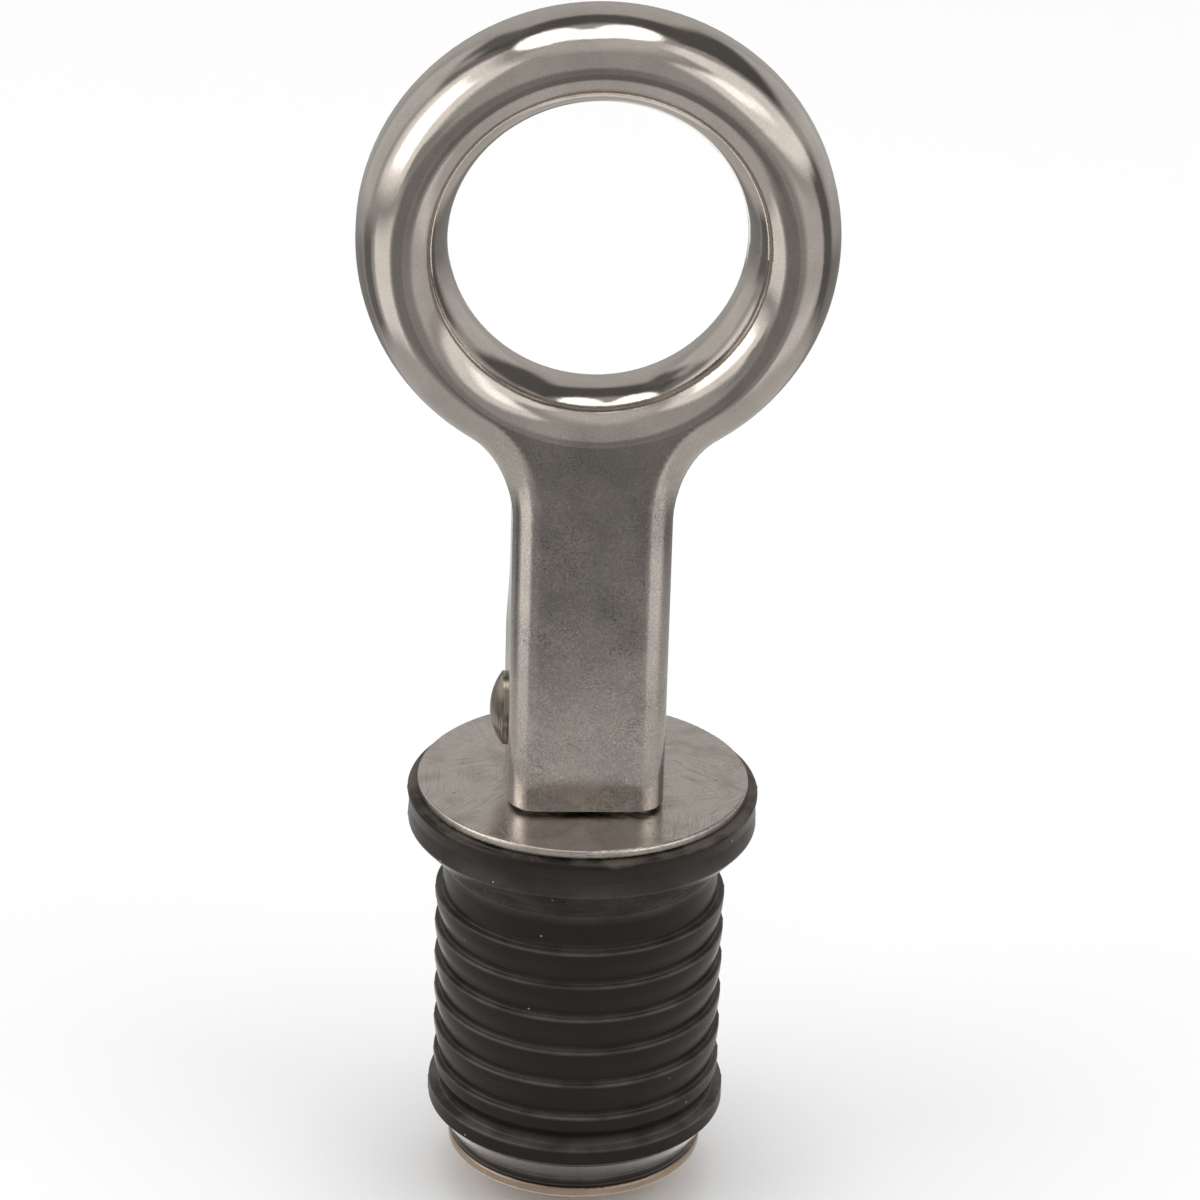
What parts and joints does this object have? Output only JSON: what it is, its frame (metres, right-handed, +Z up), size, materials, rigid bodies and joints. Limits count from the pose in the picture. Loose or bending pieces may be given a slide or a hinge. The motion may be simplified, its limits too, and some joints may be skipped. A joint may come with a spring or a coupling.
{
  "type": "drain plug",
  "caption": "Expanding drain plug: a ribbed rubber body between two steel washers, squeezed by a cam handle with a finger ring that folds down.",
  "frame": {"origin": "on the stem's axis, at the nut's lower face", "axes": "+Z up along the stem, the handle's closed front faces -Y, its pin lies along X with the domed head at -X"},
  "size_m": [0.0386, 0.0296, 0.1058],
  "materials": {
    "polished_steel": "polished, with fine scratches",
    "rivet_steel": "polished",
    "turned_steel": "turned",
    "washer_steel": "satin",
    "rubber": "satin black"
  },
  "bodies": {
    "seal": {"top_washer": "washer_steel", "rubber_body": "rubber"},
    "lower_clamp": {"bottom_washer": "washer_steel"},
    "spindle": {"stem": "turned_steel", "stem_nut": "turned_steel"},
    "lever": {"handle": "polished_steel", "pivot_pin": "rivet_steel"}
  },
  "joints": [
    {"name": "stem_pull", "type": "slide", "parent": "seal", "child": "lower_clamp", "axis": [0, 0, 1], "range_m": [0, 0.002], "deforming": ["rubber_body"]},
    {"name": "handle_turn", "type": "hinge", "parent": "lower_clamp", "child": "spindle", "pos_m": [0, 0, 0.0032], "axis": [0, 0, 1], "continuous": true},
    {"name": "handle_fold", "type": "hinge", "parent": "spindle", "child": "lever", "pos_m": [0, 0, 0.04425], "axis": [-1, 0, 0], "range_deg": [0, 90]}
  ],
  "couplings": [
    {"joint": "stem_pull", "follows": "handle_fold", "m_per_rad": 0.001273}
  ]
}
